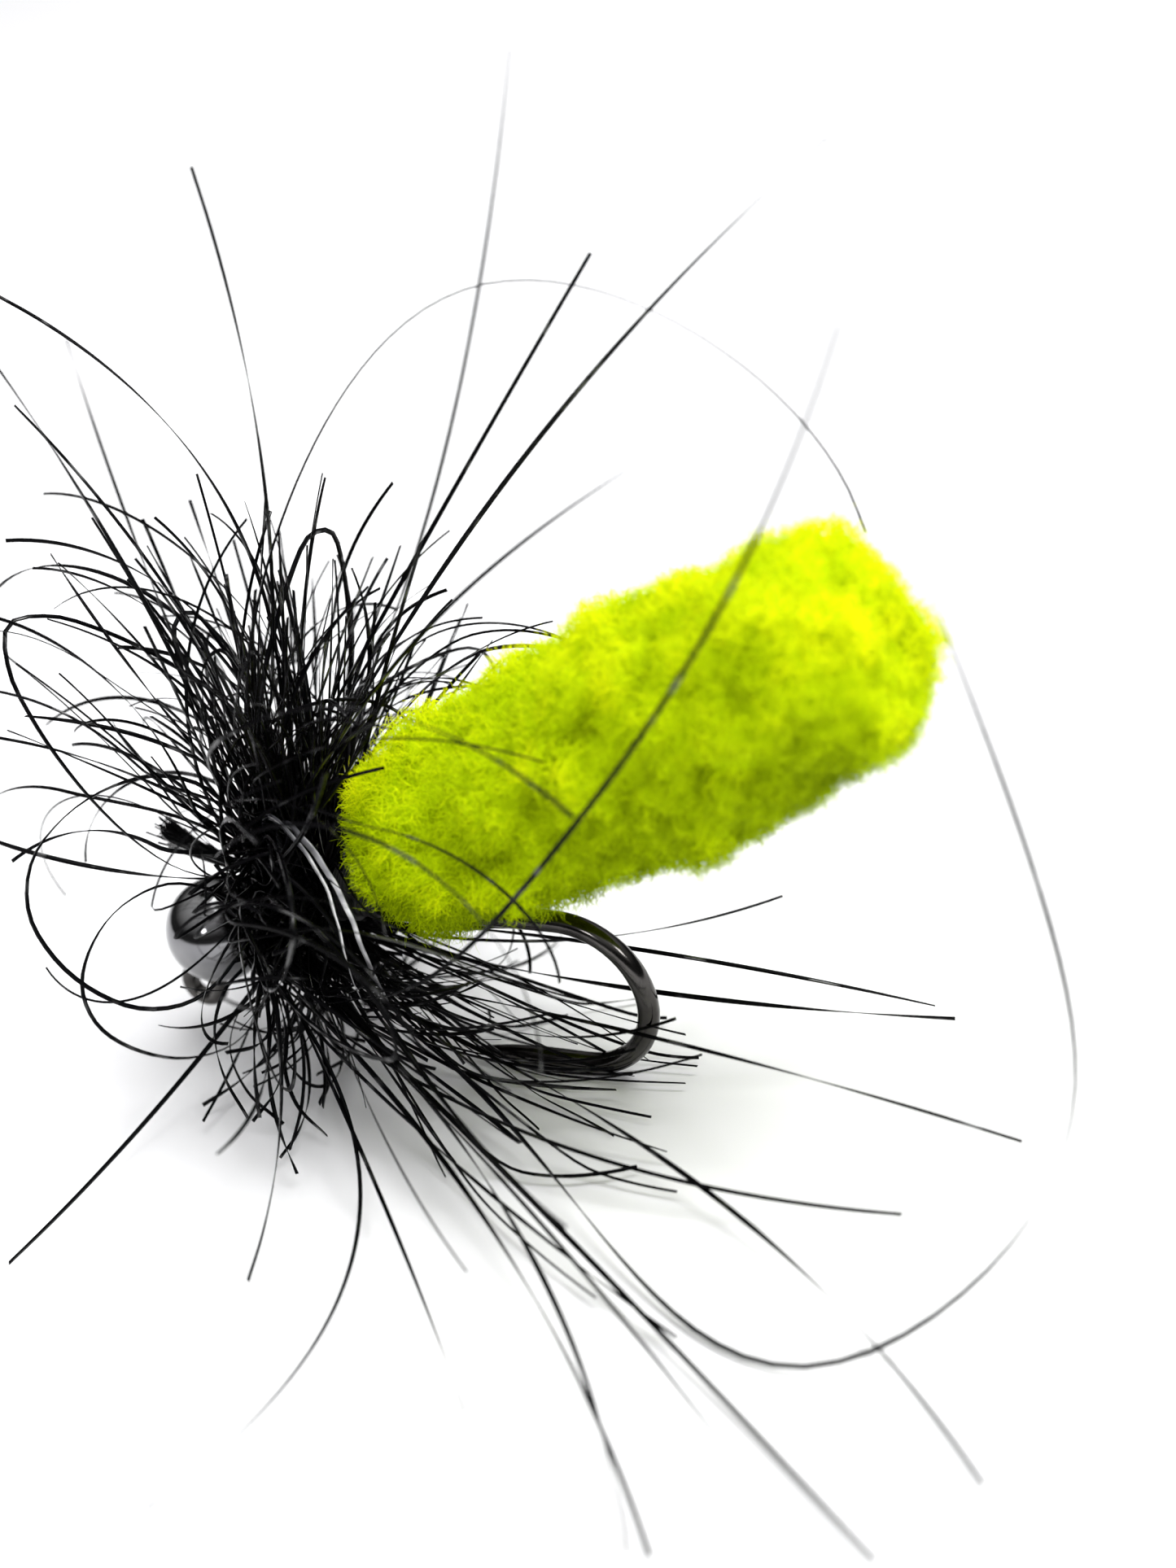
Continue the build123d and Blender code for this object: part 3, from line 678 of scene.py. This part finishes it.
def surface(share, theta, sink):
    """Place and outward direction on the chenille at an area share and clock angle, sunk by a depth."""
    s = np.interp(share, area, s_fine)
    r = np.interp(share, area, r_fine)
    tilt = unit(np.stack([np.interp(share, area, slope[:, 0]), np.interp(share, area, slope[:, 1])], axis=-1))
    out = np.cos(theta)[..., None] * AXIS_U + np.sin(theta)[..., None] * np.array([0.0, 1.0, 0.0])
    normal = tilt[..., :1] * AXIS_D + tilt[..., 1:] * out
    return AXIS_P + s[..., None] * AXIS_D + r[..., None] * out - normal * sink[..., None], normal


# big soft lumps of the pile, each a bundle of tufts
lump_order = np.arange(LUMPS) + 0.5
lump_place, _ = surface(
    np.clip(lump_order / LUMPS + rng.normal(0, 0.02, LUMPS), 0, 1),
    lump_order * math.pi * GOLDEN + rng.normal(0, 0.2, LUMPS),
    np.full(LUMPS, 0.2 * MM),
)
lump_rise = rng.uniform(0.0, 1.0, LUMPS) ** 1.2 * LUMP_RISE * MM


def lumpy(place, normal):
    """The place raised by the lumps near it, and how high it stands, 0 to 1."""
    d2 = ((place[:, None] - lump_place) ** 2).sum(axis=-1)
    weight = np.exp(-d2 / (LUMP_R * MM) ** 2)
    rise = (weight * lump_rise).sum(axis=1) / (weight.sum(axis=1) + 0.35)
    # the hook wire lies in a furrow along the underside, deep enough for the strand to drop
    s = (place - AXIS_P) @ AXIS_D
    furrow = np.clip(-(normal @ AXIS_U), 0, 1) ** 2 * np.exp(-((place[:, 1] / (0.95 * MM)) ** 2))
    furrow = furrow * np.interp(s, np.array([2.0, 6.0, 12.0, 14.5]) * MM, [0.0, 1.0, 1.6, 0.0]) * MM
    return place + normal * (rise - furrow)[:, None], rise / (0.75 * MM)


# centres of the small lobes, some way inside the skin
order = np.arange(TUFTS) + 0.5
tuft_share = np.clip(order / TUFTS + rng.normal(0, 0.012, TUFTS), 0, 1)
tuft_theta = order * math.pi * GOLDEN + rng.normal(0, 0.14, TUFTS)
tuft_sink = rng.uniform(0.80, 1.20, TUFTS) * MM
tuft_place, tuft_normal = surface(tuft_share, tuft_theta, tuft_sink)
tuft_place, _ = lumpy(tuft_place, tuft_normal)
tuft_tone = rng.uniform(0, 1, TUFTS)


BLOCK = 4000


def nearest_tuft(places):
    """Index of and distance to the nearest tuft centre, a block of places at a time."""
    index = np.empty(len(places), int)
    gap = np.empty(len(places))
    square = (tuft_place**2).sum(axis=1)
    for a in range(0, len(places), BLOCK):
        block = places[a:a + BLOCK]
        d2 = (block**2).sum(axis=1)[:, None] - 2 * block @ tuft_place.T + square
        index[a:a + BLOCK] = d2.argmin(axis=1)
        gap[a:a + BLOCK] = np.sqrt(np.maximum(d2.min(axis=1), 0))
    return index, gap


def ground_mesh(name, rows=150, columns=150):
    """The matted base under the fibres, a closed surface with a lobe over each tuft."""
    share = np.linspace(0, 1, rows)[:, None]
    theta = np.linspace(0, 2 * np.pi, columns, endpoint=False)[None]
    place, normal = surface(*np.broadcast_arrays(share, theta, np.array(GROUND_SINK)))
    up = normal.reshape(-1, 3)
    flat, _ = lumpy(place.reshape(-1, 3), up)
    _, gap = nearest_tuft(flat + up * 0.25 * MM)
    dome = np.clip(1 - (gap / (1.35 * TUFT_R)) ** 2, 0, 1)
    flat = flat + up * (dome * 0.45 * MM)[:, None]
    ends = np.array([flat[:columns].mean(axis=0), flat[-columns:].mean(axis=0)])
    verts = np.vstack([flat, ends])
    faces = []
    for i in range(rows - 1):
        for j in range(columns):
            a, b = i * columns + j, i * columns + (j + 1) % columns
            faces.append((a, b, b + columns, a + columns))
    top = len(flat)
    faces += [(top, (j + 1) % columns, j) for j in range(columns)]
    last = (rows - 1) * columns
    faces += [(top + 1, last + j, last + (j + 1) % columns) for j in range(columns)]
    mesh = bpy.data.meshes.new(name)
    mesh.from_pydata(verts.tolist(), [], faces)
    # painted shade: the ground is coloured lighter on its lobes and on its upper, lit side, darker between the lobes
    # and underneath
    shade = np.concatenate([np.clip(dome * 0.7 + 0.25 * (up @ PAINTED_LIGHT_SIDE), 0, 1), [0.5, 0.5]])
    tone = mesh.attributes.new("shade", "FLOAT", "POINT")
    tone.data.foreach_set("value", shade.astype(np.float32))
    mesh.polygons.foreach_set("use_smooth", [True] * len(mesh.polygons))
    mesh.update()
    piece = bpy.data.objects.new(name, mesh)
    bpy.context.scene.collection.objects.link(piece)
    return piece


def curly(count, share_range, length_range, width_range, curl, points=7):
    """Fine fibres that stand out of their tufts and curl over."""
    share = rng.uniform(*share_range, count)
    theta = rng.uniform(0, 2 * np.pi, count)
    skin, normal = surface(share, theta, np.full(count, SKIN_SINK))
    skin, height = lumpy(skin, normal)
    index, gap = nearest_tuft(skin)
    spread = unit(skin - (tuft_place[index] - tuft_normal[index] * 0.35 * MM))
    heading = unit(0.55 * spread + 0.45 * normal + rng.normal(0, 0.55, (count, 3)))
    crown = np.clip(1 - (gap / (1.3 * TUFT_R)) ** 2, 0.0, 1)
    root = skin - heading * (0.35 * MM) - normal * ((1 - crown) * 0.22 * MM)[:, None]
    length = rng.uniform(*length_range, count) * MM * (0.72 + 0.28 * crown)
    side = unit(np.cross(heading, rng.normal(0, 1, (count, 3))))
    other = np.cross(heading, side)
    t = np.linspace(0, 1, points)
    angle = rng.uniform(0, CIRCLE, count)[:, None] + rng.uniform(-1, 1, (count, 1)) * 8.5 * t
    loop = curl * MM * (0.3 + t) * rng.uniform(0.5, 1.3, (count, 1))
    lines = root[:, None] + heading[:, None] * (length[:, None] * t)[..., None]
    across, beside = (np.cos(angle) * loop)[..., None], (np.sin(angle) * loop)[..., None]
    lines = lines + side[:, None] * across + other[:, None] * beside
    # painted shade and light: a fibre is coloured lighter on a tuft's crown, on a high lump and on the pile's lit
    # side, darker in the hollows and underneath; tuft_tone and the random part are its own tone
    base = 0.02 + 0.36 * crown + 0.34 * np.clip(height, 0, 1) + 0.25 * (tuft_tone[index] - 0.5)
    base = base + rng.normal(0, 0.09, count)
    base = base - 0.09 + 0.50 * (normal @ PAINTED_LIGHT_SIDE)
    # painted shade: each fibre is coloured darker at its root and lighter towards its tip
    shade = np.clip(base[:, None] + 0.28 * (t - 0.4), 0, 1)
    return lines, rng.uniform(*width_range, count) * MM, shade


def mop_piece(name, count, share_range, length_range, width_range, curl):
    """One piece of the pile: the fibres of a stretch of the chenille."""
    lines, width, shade = curly(count, share_range, length_range, width_range, curl)
    piece = fibre_mesh(name, lines, width, width, 3, np.zeros(count), np.zeros(count), 0.35, shade)
    return finish_piece(piece, pile_fibre)


mop = [finish_piece(ground_mesh("mop_ground"), pile_ground)]
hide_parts("strand_pile")
BANDS = 7
FIBRES_PER_BAND, STRAY_FIBRES = 5200, 900
for band in range(BANDS):
    edges = (band / BANDS, (band + 1) / BANDS)
    mop.append(mop_piece(f"mop_fibre_{band + 1}", FIBRES_PER_BAND, edges, (0.6, 1.1), (0.022, 0.036), 0.20))
mop.append(mop_piece("mop_stray_fibre", STRAY_FIBRES, (0, 1), (0.9, 1.6), (0.016, 0.026), 0.24))
for piece in mop:
    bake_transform(piece)

# ---------------------------------------------------------------- floor, light and camera
FLOOR_SIZE = 0.40
bpy.ops.mesh.primitive_plane_add(size=FLOOR_SIZE, location=(0, 0, LOW_Z - 0.02 * MM))
floor = bpy.context.object
floor.name = "studio_floor"
paper, tree, shader = new_material("studio_paper")
ramp_colour(tree, object_noise(tree, 60.0), [(0.2, (0.94, 0.94, 0.96)), (0.8, (0.97, 0.97, 0.98))])
shader.inputs["Roughness"].default_value = 0.6
shader.inputs["Specular IOR Level"].default_value = 0.25
floor.data.materials.append(paper)

# reflections see a light ceiling and dark walls, the camera sees white, and the rest is dim even light
AMBIENT, BACKDROP = 0.52, 1.0
MIX_A, MIX_B = 2, 3     # a Mix node's two float inputs
world = bpy.data.worlds.new("soft_white")
world.use_nodes = True
tree = world.node_tree
sky = tree.nodes["Background"]
path = add_node(tree, "ShaderNodeLightPath")
place = add_node(tree, "ShaderNodeTexCoord")
height = add_node(tree, "ShaderNodeSeparateXYZ")
tree.links.new(place.outputs["Generated"], height.inputs["Vector"])
walls = add_node(tree, "ShaderNodeMapRange", From_Min=0.25, From_Max=0.8, To_Min=0.04, To_Max=0.8)
tree.links.new(height.outputs["Z"], walls.inputs["Value"])
reflected = add_node(tree, "ShaderNodeMix")
tree.links.new(path.outputs["Is Glossy Ray"], reflected.inputs["Factor"])
reflected.inputs[MIX_A].default_value = AMBIENT
tree.links.new(walls.outputs["Result"], reflected.inputs[MIX_B])
seen = add_node(tree, "ShaderNodeMix")
tree.links.new(path.outputs["Is Camera Ray"], seen.inputs["Factor"])
tree.links.new(reflected.outputs[0], seen.inputs[MIX_A])
seen.inputs[MIX_B].default_value = BACKDROP
tree.links.new(seen.outputs[0], sky.inputs["Color"])
bpy.context.scene.world = world

LIGHT_AIM = (0.016, 0.0, 0.006)


def softbox(name, place, size, watts):
    """A round area light aimed at the fly."""
    light = bpy.data.lights.new(name, "AREA")
    light.shape = "DISK"
    light.size = size
    light.energy = watts
    lamp = bpy.data.objects.new(name, light)
    lamp.location = place
    lamp.rotation_euler = (Vector(LIGHT_AIM) - Vector(place)).to_track_quat("-Z", "Y").to_euler()
    bpy.context.scene.collection.objects.link(lamp)


softbox("ceiling", (0.12, 0.05, 0.33), 0.30, 1.60)
softbox("glint", (0.20, -0.08, 0.13), 0.05, 0.10)
softbox("front", (0.02, -0.30, 0.16), 0.05, 0.13)

AZIMUTH, ELEVATION, ROLL = math.radians(33), math.radians(28), math.radians(13)
CAMERA_DISTANCE = 90    # mm
FOCUS = (0.0075, -0.003, 0.0065)
target = Vector((18.92, 0.0, 10.08)) * MM
back = Vector((
    math.sin(AZIMUTH) * math.cos(ELEVATION),
    -math.cos(AZIMUTH) * math.cos(ELEVATION),
    math.sin(ELEVATION),
))
right = (-back).cross(Vector((0, 0, 1))).normalized()
up = right.cross(-back)
cam_x = right * math.cos(ROLL) - up * math.sin(ROLL)
cam_y = right * math.sin(ROLL) + up * math.cos(ROLL)
camera = bpy.data.cameras.new("camera")
camera.sensor_width = 36.0
camera.lens = 62.7
camera.clip_start = 0.002
camera.clip_end = 10.0
viewer = bpy.data.objects.new("camera", camera)
pose = viewer.matrix_world.to_3x3()
pose.col[0], pose.col[1], pose.col[2] = cam_x, cam_y, back
viewer.matrix_world = pose.to_4x4()
viewer.location = target + back * CAMERA_DISTANCE * MM
bpy.context.scene.collection.objects.link(viewer)
bpy.context.scene.camera = viewer

focus = bpy.data.objects.new("focus", None)
focus.location = FOCUS
bpy.context.scene.collection.objects.link(focus)
camera.dof.use_dof = True
camera.dof.focus_object = focus
camera.dof.aperture_fstop = 40.0

bpy.context.scene.view_settings.view_transform = "Standard"
